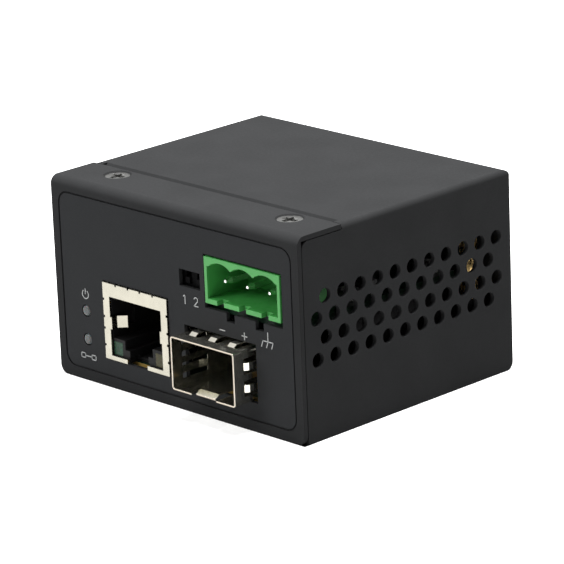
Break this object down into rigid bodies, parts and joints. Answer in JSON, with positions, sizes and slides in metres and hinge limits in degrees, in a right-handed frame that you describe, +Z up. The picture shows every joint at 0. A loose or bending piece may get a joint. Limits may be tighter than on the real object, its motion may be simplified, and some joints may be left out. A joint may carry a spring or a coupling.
{
  "type": "fibre media converter",
  "caption": "Boxed copper-to-fibre converter with an RJ45 jack, an SFP cage, a three-pole terminal header, a slide DIP switch and vented sheet-steel sides.",
  "frame": {"origin": "centre of the case's bottom face, where it rests", "axes": "+Z up, the front panel with its connectors faces -Y, +X to the right as seen from the front"},
  "size_m": [0.0582, 0.0533, 0.0346],
  "materials": {
    "case_paint": "fine matte charcoal powder coat",
    "label_film": "fine-textured matte dark film",
    "screw_black": "black oxide",
    "plated_steel": "satin tinned steel",
    "nickel_shield": "satin tinned steel",
    "zinc_steel": "zinc plate",
    "brass": "satin",
    "gold_contact": "gold flash",
    "tinned_pin": "bright tin",
    "board_laminate": "green solder mask",
    "housing_black": "moulded, matte",
    "header_green": "moulded, satin green",
    "lens_green": "unlit translucent green lens",
    "lens_yellow": "unlit translucent yellow lens",
    "lamp_clear": "unlit diffused grey lens",
    "switch_black": "moulded matte black",
    "package_black": "moulded epoxy",
    "can_metal": "drawn can",
    "tantalum_yellow": "moulded ochre",
    "ferrite": "ferrite grey",
    "chip_ceramic": "matte ceramic"
  },
  "bodies": {
    "case": {"front_chassis": "case_paint", "top_cover": "case_paint", "front_label": "label_film", "cover_screws": "screw_black", "base_standoffs": "zinc_steel", "hex_standoffs": "housing_black", "board_screws": "zinc_steel", "main_board": "board_laminate", "power_board": "board_laminate", "rj45_shield": "nickel_shield", "rj45_housing": "housing_black", "rj45_green_lens": "lens_green", "rj45_yellow_lens": "lens_yellow", "rj45_contacts": "gold_contact", "sfp_cage": "plated_steel", "sfp_connector": "housing_black", "sfp_contacts": "gold_contact", "terminal_header": "header_green", "terminal_pins": "tinned_pin", "dip_switch_shell": "switch_black", "dip_switch_base": "switch_black", "dip_switch_pins": "tinned_pin", "link_lamp": "lamp_clear", "power_lamp": "lamp_clear", "lamp_holder": "housing_black", "link_strip": "housing_black", "link_socket": "housing_black", "link_pins": "gold_contact", "controller_chip": "package_black", "memory_chip": "package_black", "crystal_can": "can_metal", "tantalum_capacitors": "tantalum_yellow", "electrolytic_capacitors": "can_metal", "power_inductor": "ferrite", "regulator_chip": "package_black", "input_diode": "package_black", "chip_capacitors": "chip_ceramic", "pillar_spacer": "housing_black", "earth_pillar": "brass"},
    "lever_1": {"dip_lever_1": "switch_black"},
    "lever_2": {"dip_lever_2": "switch_black"}
  },
  "joints": [
    {"name": "dip_1_slide", "type": "slide", "parent": "case", "child": "lever_1", "axis": [0, 0, 1], "range_m": [0, 0.001]},
    {"name": "dip_2_slide", "type": "slide", "parent": "case", "child": "lever_2", "axis": [0, 0, 1], "range_m": [0, 0.001]}
  ]
}
